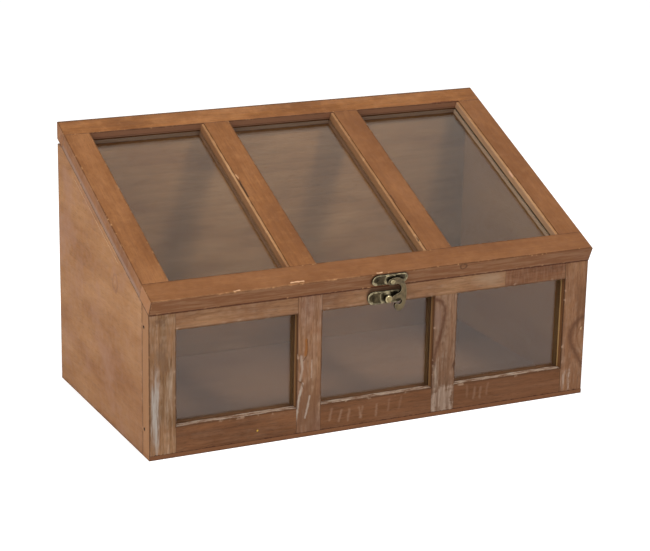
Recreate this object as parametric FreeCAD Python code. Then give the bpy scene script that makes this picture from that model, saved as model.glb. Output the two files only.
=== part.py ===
import FreeCAD, Part
import math
import os

# Wooden mini greenhouse: a small glazed box with a sloping glazed lid.
# X runs left to right, the front faces -Y, Z is up, sizes in millimetres.

# Whole box
width = 380.0
depth = 200.5
seam_height = 114.2        # where the lid meets the box at the front
slope_degrees = 23.9       # fall of the lid from back to front
half_width = width / 2.0
slope = math.radians(slope_degrees)
rise = math.tan(slope)

# Timber
frame_thick = 13.0
lid_thick = 13.0
side_thick = 9.0
back_thick = 9.0
floor_thick = 7.0
floor_tongue_thick = 3.4   # floor edge seen under the front frame
rebate_depth = 3.0         # seat for back and floor in the sides
side_flat_drop = 4.0       # level cut at the back corner of each side, below the seam
edge_ease = 0.6            # small flat on the outer corners

# Front frame
stile_width = 21.5
muntin_width = 20.7
muntin_offset = 59.0       # muntin centre from the middle of the box
window_bottom = 24.5
top_rail_height = 13.7     # window top to the seam, at the front face
top_rail_joint = 112.5     # butt joint in the top rail
lap_depth = 6.5            # half of the frame kept in front at a lapped crossing

# Lid frame
lid_rail_width = 20.7
lid_back_rail_width = 19.0 # on the top face
lid_left_stile_width = 21.5
lid_right_stile_width = 21.0
lid_muntin_width = 22.0
bead_width = 2.5
bead_top = 12.5
bead_gap = 0.15
bead_end_gap = 0.3

# Glass and its grooves
glass_thick = 2.0
groove_width = 2.2
groove_reach = 3.0
glass_reach = 2.5
front_groove_start = 6.5   # behind the front face
lid_groove_start = 3.8     # above the underside of the lid
socket_stop = 4.0          # lid rail grooves stop this far from the ends
joint_gap = 0.1

# Headless brads of flat wire, driven through the edges of the stiles
nail_width = 1.9
nail_thick = 1.5
nail_length = 28.0
nail_sink = 1.0
nail_back_edge = 3.0       # nail line from the back of the frame
nail_rail_edge = 2.2       # nail line from the window side of each rail
hole_gap = 0.05

# Latch plates, one on the lid and one on the box
plate_length = 30.3
plate_height = 10.0
plate_thick = 1.0
plate_corner = 4.6
rim_width = 1.1
rim_height = 0.5
pad_length = 8.6
pad_height = 8.0
pad_rise = 0.9
latch_screw_spacing = 21.5
lid_plate_x = 6.5
lid_plate_edge = 0.6       # plate kept this far below the lid's top edge

# Swing hook, stud and rivet
hook_thick = 2.0
hook_pad_gap = 0.3         # between the pad and the back of the hook
hook_box_gap = 1.3         # between the catch pad and the back of the hook
hook_pivot_shift = 0.8     # pivot to the right of the plate's middle
stud_shift = -2.9          # stud from the pivot, across and down
stud_drop = 13.7
hook_bend_radius = 3.0     # inside of the bend
hook_outline_tolerance = 0.15
# Outline of the hook as points of one smooth closed curve, across and up from the pivot
hook_eye = ((-2.5, -2.4), (-3.6, 0.2), (-2.3, 2.6), (0.9, 3.6))
hook_outer_arm = ((5.3, 2.9), (9.5, 0.2), (12.6, -4.4), (13.6, -10.2), (13.2, -15.8), (12.2, -20.6))
hook_tail = ((8.3, -24.9), (4.1, -22.9), (4.3, -18.9), (7.4, -19.6), (9.7, -17.6))
hook_prong = ((8.2, -14.9), (4.2, -15.0), (0.6, -16.6), (-2.4, -17.9), (-4.6, -17.3),
              (-4.2, -16.2), (-2.4, -15.6), (-0.5, -14.5), (2.4, -12.0), (5.6, -10.9))
hook_inner_arm = ((8.6, -8.9), (8.5, -4.9), (5.2, -2.9), (1.4, -3.6))
rivet_shank = 1.3
rivet_head = 2.3
rivet_head_thick = 1.2
rivet_edge = 0.7
rivet_gap = 0.05
rivet_tail = 4.0
stud_neck = 1.4
stud_head = 3.2
stud_head_thick = 2.4
stud_edge = 0.9
stud_gap = 0.4             # between the hook and the stud's head
stud_tail = 4.5

# Screws
latch_screw_head = 2.5
latch_screw_shank = 1.1
latch_screw_length = 7.0
latch_screw_lift = 0.1     # head stands this far above the plate
hinge_screw_head = 1.8
hinge_screw_shank = 0.9
hinge_screw_length = 7.0

# Hinges on the back
hinge_offset = 115.0
hinge_length = 25.0
knuckle_radius = 1.9
pin_radius = 0.9
pin_gap = 0.05
pin_overhang = 0.4
knuckle_half = 4.0         # half of the middle knuckle
knuckle_gap = 0.3
leaf_thick = 0.9
leaf_edge = 1.9            # leaf ends this far below the lid's top back edge
leaf_corner = 2.0
leaf_relief = 0.5          # leaf kept clear of the other leaf's knuckles
hinge_screw_edge = 4.9

# Places worked out from the sizes above
back_seam_height = seam_height + depth * rise
window_top = seam_height - top_rail_height
lid_length_top = (depth + lid_thick * math.sin(slope)) / math.cos(slope)
lid_back_rail_start = lid_length_top - lid_back_rail_width
lid_plate_height = lid_thick - lid_plate_edge - plate_height / 2.0
hook_stand_off = plate_thick + pad_rise + hook_pad_gap
hook_back_depth = plate_thick + pad_rise + hook_box_gap
hook_pivot_x = lid_plate_x + hook_pivot_shift
hook_pivot_height = lid_plate_height
stud_head_depth = hook_back_depth + hook_thick + stud_gap
catch_plate_x = hook_pivot_x + stud_shift
hinge_axis_out = knuckle_radius + knuckle_gap
leaf_clear = knuckle_radius + leaf_relief
leaf_height = lid_thick / math.cos(slope) - leaf_edge
lid_place = FreeCAD.Placement(FreeCAD.Vector(0, 0, seam_height),
                              FreeCAD.Rotation(FreeCAD.Vector(1, 0, 0), slope_degrees))


def lid_point(out, up):
    """Point (y, z) at a distance out from the lid's front face and up along it."""
    return (-up * math.sin(slope) - out * math.cos(slope),
            seam_height + up * math.cos(slope) - out * math.sin(slope))


hook_pivot_z = lid_point(hook_stand_off + hook_thick, hook_pivot_height)[1]
catch_plate_height = hook_pivot_z - stud_drop


def box(x0, x1, y0, y1, z0, z1):
    return Part.makeBox(x1 - x0, y1 - y0, z1 - z0, FreeCAD.Vector(x0, y0, z0))


def rod(radius, start, direction, length):
    return Part.makeCylinder(radius, length, FreeCAD.Vector(*start), FreeCAD.Vector(*direction))


def side_profile(x0, x1, points):
    """Solid between x0 and x1 with an outline given as (y, z) points."""
    corners = [FreeCAD.Vector(x0, y, z) for y, z in points]
    outline = Part.makePolygon(corners + corners[:1])
    return Part.Face(outline).extrude(FreeCAD.Vector(x1 - x0, 0, 0))


def seam_at(y):
    return seam_height + y * rise


def below_lid(x0, x1, y0, y1, bottom):
    """Upright block whose top follows the underside of the lid."""
    return side_profile(x0, x1, [(y0, bottom), (y1, bottom), (y1, seam_at(y1)), (y0, seam_at(y0))])


def ease(shape, test, size=edge_ease):
    """Chamfer the straight edges whose middle and ends pass the test."""
    picked = []
    for edge in shape.Edges:
        spots = [v.Point for v in edge.Vertexes] + [edge.CenterOfMass]
        if len(spots) == 3 and edge.Length > 5.0 and all(test(p) for p in spots):
            picked.append(edge)
    return shape.makeChamfer(size, picked) if picked else shape


def near(a, b):
    return abs(a - b) < 0.01


def to_lid(shape):
    """Move a shape drawn flat (x, along the slope, up from the underside) onto the slope."""
    moved = shape.copy()
    moved.Placement = lid_place.multiply(shape.Placement)
    return moved


def wood_screw(head, shank, length):
    """Countersunk screw turned in one outline, head face at y = 0, shank towards +Y."""
    outline = [(0, 0), (head, 0), (shank, head - shank), (shank, length), (0, length)]
    corners = [FreeCAD.Vector(x, y, 0) for x, y in outline]
    half_section = Part.Face(Part.makePolygon(corners + corners[:1]))
    return half_section.revolve(FreeCAD.Vector(0, 0, 0), FreeCAD.Vector(0, 1, 0), 360)


def screw_hole(head, shank, length):
    return wood_screw(head + hole_gap, shank + hole_gap, length + hole_gap)


def at(shape, x, y, z, turn=0.0):
    moved = shape.copy()
    moved.Placement = FreeCAD.Placement(FreeCAD.Vector(x, y, z),
                                        FreeCAD.Rotation(FreeCAD.Vector(0, 0, 1), turn))
    return moved


def cut_all(shape, cutters):
    for cutter in cutters:
        shape = shape.cut(cutter)
    return shape.removeSplitter()


def group(shapes):
    return Part.makeCompound(shapes)


nodes = {}

# Floor, sides and back
inner_half = half_width - side_thick
seat_half = inner_half + rebate_depth
back_inner = depth - back_thick

floor_main = box(-seat_half, seat_half, frame_thick, back_inner, 0, floor_thick)
floor_tongue = box(-half_width, half_width, 0, frame_thick, 0, floor_tongue_thick)
nodes["floor_panel"] = floor_main.fuse(floor_tongue).removeSplitter()


def side_panel(side):
    outer = side * half_width
    inner = side * inner_half
    seat = side * seat_half
    side_flat_height = back_seam_height - side_flat_drop
    flat_start = depth - side_flat_drop / rise
    low = min(outer, inner)
    panel = side_profile(low, low + side_thick, [
        (frame_thick, 0), (depth, 0), (depth, side_flat_height),
        (flat_start, side_flat_height), (frame_thick, seam_at(frame_thick))])
    seat_low = min(inner, seat)
    panel = panel.cut(box(seat_low, seat_low + rebate_depth, frame_thick, depth, 0, floor_thick))
    panel = panel.cut(box(seat_low, seat_low + rebate_depth, back_inner, depth, 0, depth * 2))
    return ease(panel.removeSplitter(), lambda p: near(p.x, outer) and near(p.y, depth))


nodes["left_side_panel"] = side_panel(-1)
nodes["right_side_panel"] = side_panel(1)

# Front frame
windows = []
for low, high in ((-half_width + stile_width, -muntin_offset - muntin_width / 2.0),
                  (-muntin_offset + muntin_width / 2.0, muntin_offset - muntin_width / 2.0),
                  (muntin_offset + muntin_width / 2.0, half_width - stile_width)):
    windows.append((low, high))

groove_end = front_groove_start + groove_width
front_pockets = []
for low, high in windows:
    front_pockets.append(box(low - groove_reach, high + groove_reach, front_groove_start,
                             groove_end, window_bottom - groove_reach, window_top + groove_reach))


def brad(side, start, length, gap):
    """Straight brad drawn inwards from a distance start below the side of the stile."""
    x0, x1 = sorted((side * (half_width - start), side * (half_width - start - length)))
    half_across = nail_width / 2.0 + gap
    half_up = nail_thick / 2.0 + gap
    return box(x0, x1, -half_across, half_across, -half_up, half_up)


def nail(side):
    return brad(side, nail_sink, nail_length, 0.0)


def nail_hole(side):
    return brad(side, 0.0, nail_sink + nail_length, hole_gap)


nail_depth = frame_thick - nail_back_edge
nails = []
nail_holes = []
for side in (-1, 1):
    for height in (window_bottom - nail_rail_edge, window_top + nail_rail_edge):
        nails.append(at(nail(side), 0, nail_depth, height))
        nail_holes.append(at(nail_hole(side), 0, nail_depth, height))

# Latch hardware, drawn on a flat face at y = 0 with the outside towards -Y


def rounded_bar(length, height, corner, thick):
    bar = box(-length / 2.0, length / 2.0, -thick, 0, -height / 2.0, height / 2.0)
    uprights = [e for e in bar.Edges if near(e.Vertexes[0].X, e.Vertexes[1].X)
                and near(e.Vertexes[0].Z, e.Vertexes[1].Z)]
    return bar.makeFillet(corner, uprights)


def hasp_plate():
    """Pressed plate with a raised rim and a raised middle pad."""
    plate = rounded_bar(plate_length, plate_height, plate_corner, plate_thick + rim_height)
    dish = rounded_bar(plate_length - 2 * rim_width, plate_height - 2 * rim_width,
                       plate_corner - rim_width, rim_height + 1.0)
    dish.translate(FreeCAD.Vector(0, -plate_thick, 0))
    plate = plate.cut(dish)
    pad = rounded_bar(pad_length, pad_height, 1.5, pad_rise)
    pad.translate(FreeCAD.Vector(0, -plate_thick, 0))
    return plate.fuse(pad).removeSplitter()


latch_screw = wood_screw(latch_screw_head, latch_screw_shank, latch_screw_length)
latch_screw_hole = screw_hole(latch_screw_head, latch_screw_shank, latch_screw_length)
latch_screw_y = -plate_thick - latch_screw_lift


def latch_screws(x, height, shape):
    half = latch_screw_spacing / 2.0
    return [at(shape, x - half, latch_screw_y, height), at(shape, x + half, latch_screw_y, height)]


lid_screws_flat = latch_screws(lid_plate_x, lid_plate_height, latch_screw)
lid_screw_holes_flat = latch_screws(lid_plate_x, lid_plate_height, latch_screw_hole)
catch_screws = latch_screws(catch_plate_x, catch_plate_height, latch_screw)
catch_screw_holes = latch_screws(catch_plate_x, catch_plate_height, latch_screw_hole)

stud_hole = rod(stud_neck + hole_gap, (catch_plate_x, -depth, catch_plate_height), (0, 1, 0),
                depth + stud_tail + hole_gap)
rivet_hole_flat = rod(rivet_shank + hole_gap, (hook_pivot_x, -depth, hook_pivot_height), (0, 1, 0),
                      depth + rivet_tail + hole_gap)

catch_plate = at(hasp_plate(), catch_plate_x, 0, catch_plate_height)
nodes["catch_plate"] = cut_all(catch_plate, catch_screw_holes + [stud_hole])
nodes["catch_screws"] = group(catch_screws)

stud_length = stud_head_depth + stud_tail
stud = rod(stud_neck, (0, -stud_head_depth, 0), (0, 1, 0), stud_length)
head = rod(stud_head, (0, -stud_head_depth - stud_head_thick, 0), (0, 1, 0), stud_head_thick)
head_rim = [e for e in head.Edges if e.Closed and near(e.CenterOfMass.y, -stud_head_depth - stud_head_thick)]
head = head.makeChamfer(stud_edge, head_rim)
nodes["catch_stud"] = at(stud.fuse(head).removeSplitter(), catch_plate_x, 0, catch_plate_height)

# Front frame members: stiles full height, rails on stub tenons, muntins lapped over the rails
frame_holes = nail_holes + catch_screw_holes + [stud_hole]
stile_inner = half_width - stile_width
tenon_end = stile_inner + groove_reach - joint_gap


def front_stile(side):
    outer = side * half_width
    inner = side * stile_inner
    low = min(outer, inner)
    stile = below_lid(low, low + stile_width, 0, frame_thick, floor_tongue_thick)
    groove_low = min(inner, inner + side * groove_reach)
    stile = stile.cut(box(groove_low, groove_low + groove_reach, front_groove_start, groove_end,
                          0, depth * 2))
    stile = ease(stile.removeSplitter(), lambda p: near(p.x, outer) and near(p.y, 0))
    return cut_all(stile, nail_holes)


nodes["front_left_stile"] = front_stile(-1)
nodes["front_right_stile"] = front_stile(1)

tenon_back = groove_end - joint_gap
top_rail = below_lid(-stile_inner, stile_inner, 0, frame_thick, window_top)
tenon_front = front_groove_start + joint_gap
for side in (-1, 1):
    low = min(side * stile_inner, side * tenon_end)
    top_rail = top_rail.fuse(below_lid(low, low + tenon_end - stile_inner, tenon_front, tenon_back,
                                       window_top))
bottom_rail = box(-stile_inner, stile_inner, 0, frame_thick, floor_tongue_thick, window_bottom)
bottom_rail = bottom_rail.fuse(box(-tenon_end, tenon_end, tenon_front, tenon_back,
                                   floor_tongue_thick, window_bottom))


def muntin_range(side):
    centre = side * muntin_offset
    return centre - muntin_width / 2.0, centre + muntin_width / 2.0


def front_muntin(side, over_top_rail):
    """Upright bar, lapped in front of the bottom rail and in front of or behind the top rail."""
    low, high = muntin_range(side)
    bar = below_lid(low, high, 0, frame_thick, floor_tongue_thick)
    bar = bar.cut(box(low, high, lap_depth, frame_thick, 0, window_bottom))
    if over_top_rail:
        bar = bar.cut(box(low, high, lap_depth, frame_thick, window_top, depth * 2))
    else:
        bar = bar.cut(box(low, high, 0, lap_depth, window_top, depth * 2))
    return cut_all(bar, front_pockets)


nodes["front_left_muntin"] = front_muntin(-1, True)
nodes["front_right_muntin"] = front_muntin(1, False)

left_low, left_high = muntin_range(-1)
right_low, right_high = muntin_range(1)
top_rail = top_rail.cut(box(left_low, left_high, 0, lap_depth, 0, depth * 2))
top_rail = top_rail.cut(box(right_low, right_high, lap_depth, frame_thick, 0, depth * 2))
bottom_rail = bottom_rail.cut(box(left_low, left_high, 0, lap_depth, 0, window_bottom))
bottom_rail = bottom_rail.cut(box(right_low, right_high, 0, lap_depth, 0, window_bottom))
top_rail = cut_all(top_rail, front_pockets + frame_holes)
nodes["front_bottom_rail"] = cut_all(bottom_rail, front_pockets + frame_holes)
left_part = box(-half_width, top_rail_joint, 0, frame_thick, 0, depth * 2)
right_part = box(top_rail_joint, half_width, 0, frame_thick, 0, depth * 2)
nodes["front_top_rail_left"] = top_rail.common(left_part).removeSplitter()
nodes["front_top_rail_right"] = top_rail.common(right_part).removeSplitter()

glass_front = front_groove_start + (groove_width - glass_thick) / 2.0
for name, (low, high) in zip(("left", "centre", "right"), windows):
    nodes["front_" + name + "_pane"] = box(low - glass_reach, high + glass_reach, glass_front,
                                           glass_front + glass_thick, window_bottom - glass_reach,
                                           window_top + glass_reach)
nodes["front_frame_nails"] = group(nails)

# Lid, drawn flat first: x across, y up the slope, z up from the underside
back_waste = side_profile(-half_width, half_width, [
    (depth / math.cos(slope), 0), (lid_length_top, lid_thick),
    (lid_length_top + 20.0, lid_thick), (lid_length_top + 20.0, 0)])
lid_left_edges = (-half_width + lid_left_stile_width,
                  -muntin_offset + lid_muntin_width / 2.0,
                  muntin_offset + lid_muntin_width / 2.0)
lid_right_edges = (-muntin_offset - lid_muntin_width / 2.0,
                   muntin_offset - lid_muntin_width / 2.0,
                   half_width - lid_right_stile_width)
lid_openings = list(zip(lid_left_edges, lid_right_edges))
lid_groove_end = lid_groove_start + groove_width

lid_pockets = []
for low, high in lid_openings:
    lid_pockets.append(box(low - groove_reach, high, lid_rail_width - groove_reach,
                           lid_back_rail_start + groove_reach, lid_groove_start, lid_groove_end))

rail_sockets = []
for start in (lid_rail_width - groove_reach, lid_back_rail_start):
    rail_sockets.append(box(-half_width + socket_stop, half_width - socket_stop, start,
                            start + groove_reach, lid_groove_start, lid_groove_end))


def lid_front_rail():
    rail = box(-half_width, half_width, 0, lid_rail_width, 0, lid_thick)
    rail = ease(rail, lambda p: near(p.z, lid_thick) and (near(p.y, 0) or near(abs(p.x), half_width)))
    return cut_all(rail, rail_sockets + lid_screw_holes_flat + [rivet_hole_flat])


def lid_back_rail():
    rail = box(-half_width, half_width, lid_back_rail_start, lid_length_top + 5.0, 0, lid_thick)
    rail = rail.cut(back_waste)
    rail = ease(rail, lambda p: near(p.z, lid_thick) and (near(p.y, lid_length_top)
                                                          or near(abs(p.x), half_width)))
    return cut_all(rail, rail_sockets)


def lid_bar(low, high, tenon_low, tenon_high, ledge):
    """Lid stile or muntin between the rails, with stub tenons and a glass ledge on its left."""
    bar = box(low, high, lid_rail_width, lid_back_rail_start, 0, lid_thick)
    bar = bar.fuse(box(tenon_low, tenon_high, lid_rail_width - groove_reach + joint_gap,
                       lid_back_rail_start + groove_reach - joint_gap,
                       lid_groove_start + joint_gap, lid_groove_end - joint_gap))
    if ledge:
        bar = bar.fuse(box(low - bead_width, low, lid_rail_width, lid_back_rail_start,
                           0, lid_groove_start))
    return bar


def lid_member(low, high, tenon_low, tenon_high, ledge):
    bar = lid_bar(low, high, tenon_low, tenon_high, ledge).removeSplitter()
    bar = ease(bar, lambda p: near(abs(p.x), half_width) and near(p.z, lid_thick))
    return cut_all(bar, lid_pockets)


stile_tenon = half_width - socket_stop - joint_gap
tenon_clear = groove_reach + joint_gap
flat = {
    "lid_front_rail": lid_front_rail(),
    "lid_back_rail": lid_back_rail(),
    "lid_left_stile": lid_member(-half_width, lid_left_edges[0], -stile_tenon,
                                 lid_left_edges[0] - tenon_clear, False),
    "lid_left_muntin": lid_member(lid_right_edges[0], lid_left_edges[1],
                                  lid_right_edges[0] + joint_gap,
                                  lid_left_edges[1] - tenon_clear, True),
    "lid_right_muntin": lid_member(lid_right_edges[1], lid_left_edges[2],
                                   lid_right_edges[1] + joint_gap,
                                   lid_left_edges[2] - tenon_clear, True),
    "lid_right_stile": lid_member(lid_right_edges[2], half_width, lid_right_edges[2] + joint_gap,
                                  stile_tenon, True),
}

lid_glass_bottom = lid_groove_start + (groove_width - glass_thick) / 2.0
lid_glass_top = lid_glass_bottom + glass_thick
for name, (low, high) in zip(("left", "centre", "right"), lid_openings):
    flat["lid_" + name + "_pane"] = box(low - glass_reach, high - 2 * joint_gap,
                                        lid_rail_width - glass_reach,
                                        lid_back_rail_start + glass_reach,
                                        lid_glass_bottom, lid_glass_top)
    bead = box(high - bead_width, high - bead_gap, lid_rail_width + bead_end_gap,
               lid_back_rail_start - bead_end_gap, lid_glass_top, bead_top)
    flat["lid_" + name + "_bead"] = ease(bead, lambda p, edge=high: near(p.x, edge - bead_width)
                                         and near(p.z, bead_top), 0.4)

latch_plate = at(hasp_plate(), lid_plate_x, 0, lid_plate_height)
flat["latch_plate"] = cut_all(latch_plate, lid_screw_holes_flat + [rivet_hole_flat])
flat["latch_screws"] = group(lid_screws_flat)

rivet_top = hook_stand_off + hook_thick + 0.1
rivet = rod(rivet_shank, (0, -rivet_top, 0), (0, 1, 0), rivet_top + rivet_tail)
rivet_cap = rod(rivet_head, (0, -rivet_top - rivet_head_thick, 0), (0, 1, 0), rivet_head_thick)
cap_rim = [e for e in rivet_cap.Edges if e.Closed and near(e.CenterOfMass.y, -rivet_top - rivet_head_thick)]
rivet_cap = rivet_cap.makeChamfer(rivet_edge, cap_rim)
flat["latch_rivet"] = at(rivet.fuse(rivet_cap).removeSplitter(), hook_pivot_x, 0, hook_pivot_height)

# Swing hook: flat at its eye, then bent to hang parallel to the box front


def bend_height(out, box_depth):
    """Height up the lid face where a layer meets the upright part of the hook."""
    return (box_depth - out * math.cos(slope)) / math.sin(slope)


def hook():
    """Cut the outline through a sheet bent between the lid's front face and the box's."""
    outline = Part.BSplineCurve()
    outline.interpolate(Points=[
        FreeCAD.Vector(hook_pivot_x + x, -depth, hook_pivot_z + z)
        for x, z in hook_eye + hook_outer_arm + hook_tail + hook_prong + hook_inner_arm],
        PeriodicFlag=True)
    arcs = [arc.toShape() for arc in outline.toBiArcs(hook_outline_tolerance)]
    face = Part.Face(Part.Wire(arcs))
    inner = hook_stand_off
    outer = hook_stand_off + hook_thick
    inner_fold = lid_point(inner, bend_height(inner, hook_back_depth))
    outer_fold = lid_point(outer, bend_height(outer, hook_back_depth + hook_thick))
    top = 2 * lid_thick
    strip = side_profile(-half_width, half_width, [
        lid_point(inner, top), inner_fold, (-hook_back_depth, 0),
        (-hook_back_depth - hook_thick, 0), outer_fold, lid_point(outer, top)])
    for fold, radius in ((inner_fold, hook_bend_radius + hook_thick), (outer_fold, hook_bend_radius)):
        along = [e for e in strip.Edges if near(e.CenterOfMass.x, 0) and near(e.CenterOfMass.y, fold[0])
                 and near(e.CenterOfMass.z, fold[1])]
        strip = strip.makeFillet(radius, along)
    bent = face.extrude(FreeCAD.Vector(0, 2 * depth, 0)).common(strip).removeSplitter()
    eye = rod(rivet_shank + rivet_gap, (hook_pivot_x, -depth, hook_pivot_height), (0, 1, 0), depth * 2)
    return bent.cut(to_lid(eye)).Solids[0]


nodes["latch_hook"] = hook()

# Hinges on the back, drawn with the pin along X at the origin and the outside towards +Y
face = -hinge_axis_out
hinge_screw = wood_screw(hinge_screw_head, hinge_screw_shank, hinge_screw_length)
hinge_screw_hole = screw_hole(hinge_screw_head, hinge_screw_shank, hinge_screw_length)


def knuckle(x0, x1):
    return rod(knuckle_radius, (x0, 0, 0), (1, 0, 0), x1 - x0)


def hinge_screws(direction, shape):
    """Two screws with their heads outwards, above or below the pin."""
    out = []
    for side in (-1, 1):
        out.append(at(shape, side * (hinge_length / 2.0 - hinge_screw_edge), face + leaf_thick,
                      direction * (leaf_clear + leaf_height) / 2.0, 180.0))
    return out


def leaf(direction, spans, neck_spans):
    """Hinge leaf lying on the back face, above (1) or below (-1) the pin, with its knuckles."""
    half = hinge_length / 2.0
    z_low, z_high = sorted((direction * leaf_clear, direction * leaf_height))
    plate = box(-half, half, face, face + leaf_thick, z_low, z_high)
    far = [e for e in plate.Edges if near(e.Vertexes[0].X, e.Vertexes[1].X)
           and near(e.Vertexes[0].Z, e.Vertexes[1].Z)
           and near(e.Vertexes[0].Z, direction * leaf_height)]
    plate = plate.makeFillet(leaf_corner, far)
    for x0, x1 in neck_spans:
        low, high = sorted((0.0, direction * leaf_clear))
        plate = plate.fuse(box(x0, x1, face, face + leaf_thick, low, high))
    for x0, x1 in spans:
        plate = plate.fuse(knuckle(x0, x1))
    bore = rod(pin_radius + pin_gap, (-half - 1, 0, 0), (1, 0, 0), hinge_length + 2)
    return cut_all(plate, [bore] + hinge_screws(direction, hinge_screw_hole))


outer_knuckles = [(-hinge_length / 2.0, -knuckle_half - knuckle_gap),
                  (knuckle_half + knuckle_gap, hinge_length / 2.0)]
middle_knuckle = [(-knuckle_half, knuckle_half)]
pin_half = hinge_length / 2.0 + pin_overhang
pin = rod(pin_radius, (-pin_half, 0, 0), (1, 0, 0), 2 * pin_half)
axis_y = depth + hinge_axis_out
lid_hinge_screws = []
box_hinge_screws = []
lid_hinge_holes = []
box_hinge_holes = []
for name, x in (("left", -hinge_offset), ("right", hinge_offset)):
    spot = FreeCAD.Vector(x, axis_y, back_seam_height)
    parts = {
        "_hinge_box_leaf": leaf(-1, outer_knuckles, outer_knuckles),
        "_hinge_lid_leaf": leaf(1, middle_knuckle, middle_knuckle),
        "_hinge_pin": pin.copy(),
    }
    for label, shape in parts.items():
        shape.translate(spot)
        nodes[name + label] = shape
    for direction, screws, holes in ((1, lid_hinge_screws, lid_hinge_holes),
                                     (-1, box_hinge_screws, box_hinge_holes)):
        for shape in hinge_screws(direction, hinge_screw):
            shape.translate(spot)
            screws.append(shape)
        for shape in hinge_screws(direction, hinge_screw_hole):
            shape.translate(spot)
            holes.append(shape)
nodes["hinge_lid_screws"] = group(lid_hinge_screws)
nodes["hinge_box_screws"] = group(box_hinge_screws)

back_panel = below_lid(-seat_half, seat_half, back_inner, depth, 0)
nodes["back_panel"] = cut_all(back_panel, box_hinge_holes)

for name, shape in flat.items():
    nodes[name] = to_lid(shape)
nodes["lid_back_rail"] = cut_all(nodes["lid_back_rail"], lid_hinge_holes)

# Save each piece with the whole outline centred front to back
whole = Part.makeCompound(list(nodes.values())).BoundBox
centre_depth = (whole.YMin + whole.YMax) / 2.0
os.makedirs("parts", exist_ok=True)
for name, shape in nodes.items():
    moved = shape.copy()
    moved.translate(FreeCAD.Vector(0, -centre_depth, 0))
    moved.exportStep("parts/" + name + ".step")
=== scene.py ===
import math
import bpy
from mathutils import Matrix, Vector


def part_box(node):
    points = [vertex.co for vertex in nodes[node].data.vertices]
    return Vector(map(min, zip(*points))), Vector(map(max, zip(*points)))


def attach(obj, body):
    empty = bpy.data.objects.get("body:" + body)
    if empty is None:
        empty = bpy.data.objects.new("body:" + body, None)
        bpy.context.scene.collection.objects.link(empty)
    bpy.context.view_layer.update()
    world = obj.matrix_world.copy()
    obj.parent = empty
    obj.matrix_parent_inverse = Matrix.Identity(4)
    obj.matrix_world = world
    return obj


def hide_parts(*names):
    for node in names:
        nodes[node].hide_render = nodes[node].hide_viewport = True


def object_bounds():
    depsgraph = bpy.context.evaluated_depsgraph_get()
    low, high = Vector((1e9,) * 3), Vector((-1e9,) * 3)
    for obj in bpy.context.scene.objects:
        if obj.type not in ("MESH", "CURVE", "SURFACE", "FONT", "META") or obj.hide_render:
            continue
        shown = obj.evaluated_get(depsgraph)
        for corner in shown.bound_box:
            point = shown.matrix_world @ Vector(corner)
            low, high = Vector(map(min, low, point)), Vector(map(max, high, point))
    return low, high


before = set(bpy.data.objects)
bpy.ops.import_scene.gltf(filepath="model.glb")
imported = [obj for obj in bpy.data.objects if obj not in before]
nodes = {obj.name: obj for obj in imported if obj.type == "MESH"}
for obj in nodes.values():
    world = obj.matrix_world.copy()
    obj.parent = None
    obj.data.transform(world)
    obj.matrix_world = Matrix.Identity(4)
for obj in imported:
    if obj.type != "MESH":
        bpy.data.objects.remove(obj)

import types

import bmesh
import bpy
from mathutils import Euler, Matrix, Vector

cad_low, cad_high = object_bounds()

# Side panels
# Planed fir boards, stained a warm tan, that stand behind the front frame on each side.
# The stain lies evenly, so the grain is soft, with cloudy patches and one small knot.
to_left = Vector((-1.0, 0.0, 0.0))
to_right = Vector((1.0, 0.0, 0.0))
along_y = (0.0, 0.0, math.radians(-90.0))
half_width = cad_high.x * 1000.0
front_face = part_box("front_left_stile")[0].y * 1000.0
lid_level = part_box("lid_front_rail")[0].z * 1000.0
seam_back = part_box("back_panel")[1] * 1000.0


def linear(hex_colour):
    """Linear values of an sRGB hex colour."""
    parts = [int(hex_colour[i:i + 2], 16) / 255.0 for i in (1, 3, 5)]
    return [c / 12.92 if c <= 0.04045 else ((c + 0.055) / 1.055) ** 2.4 for c in parts] + [1.0]


def new_material(name):
    """An empty material and its node tree."""
    material = bpy.data.materials.new(name)
    material.use_nodes = True
    material.node_tree.nodes.clear()
    return material, material.node_tree


def add(tree, kind, inputs=None, stops=None, **settings):
    """One node with its settings; inputs are values or sockets to link, stops are a ramp's colours."""
    made = tree.nodes.new("ShaderNode" + kind)
    for key, value in settings.items():
        setattr(made, key, value)
    for key, value in (inputs or {}).items():
        if isinstance(value, bpy.types.NodeSocket):
            tree.links.new(value, made.inputs[key])
        else:
            made.inputs[key].default_value = value
    if stops:
        ramp = made.color_ramp.elements
        while len(ramp) < len(stops):
            ramp.new(1.0)
        for element, (position, colour) in zip(ramp, stops):
            element.position = position
            element.color = linear(colour)
    return made


def calc(tree, operation, *values, clamp=False):
    """Result of an operation on numbers, such as ADD or MAXIMUM."""
    return add(tree, "Math", dict(enumerate(values)), operation=operation, use_clamp=clamp).outputs[0]


def vector(tree, operation, *values):
    """Result of an operation on vectors: a number for a length, distance or dot product."""
    made = add(tree, "VectorMath", dict(enumerate(values)), operation=operation)
    gives_number = operation in ("LENGTH", "DISTANCE", "DOT_PRODUCT")
    return made.outputs["Value" if gives_number else "Vector"]


def scaled(tree, value, factor):
    """A vector times a number."""
    return add(tree, "VectorMath", {0: value, "Scale": factor}, operation="SCALE").outputs[0]


def ranged(tree, value, start, stop, low=0.0, high=1.0, **settings):
    """A number that goes from low to high as value goes from start to stop, and stays between."""
    return add(tree, "MapRange", {"Value": value, "From Min": start, "From Max": stop,
                                  "To Min": low, "To Max": high}, **settings).outputs[0]


def noise(tree, place, scale, detail=2.0, roughness=0.5):
    """Soft noise from 0 to 1 at a place."""
    return add(tree, "TexNoise", {"Vector": place, "Scale": scale, "Detail": detail,
                                  "Roughness": roughness}).outputs["Fac"]


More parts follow.
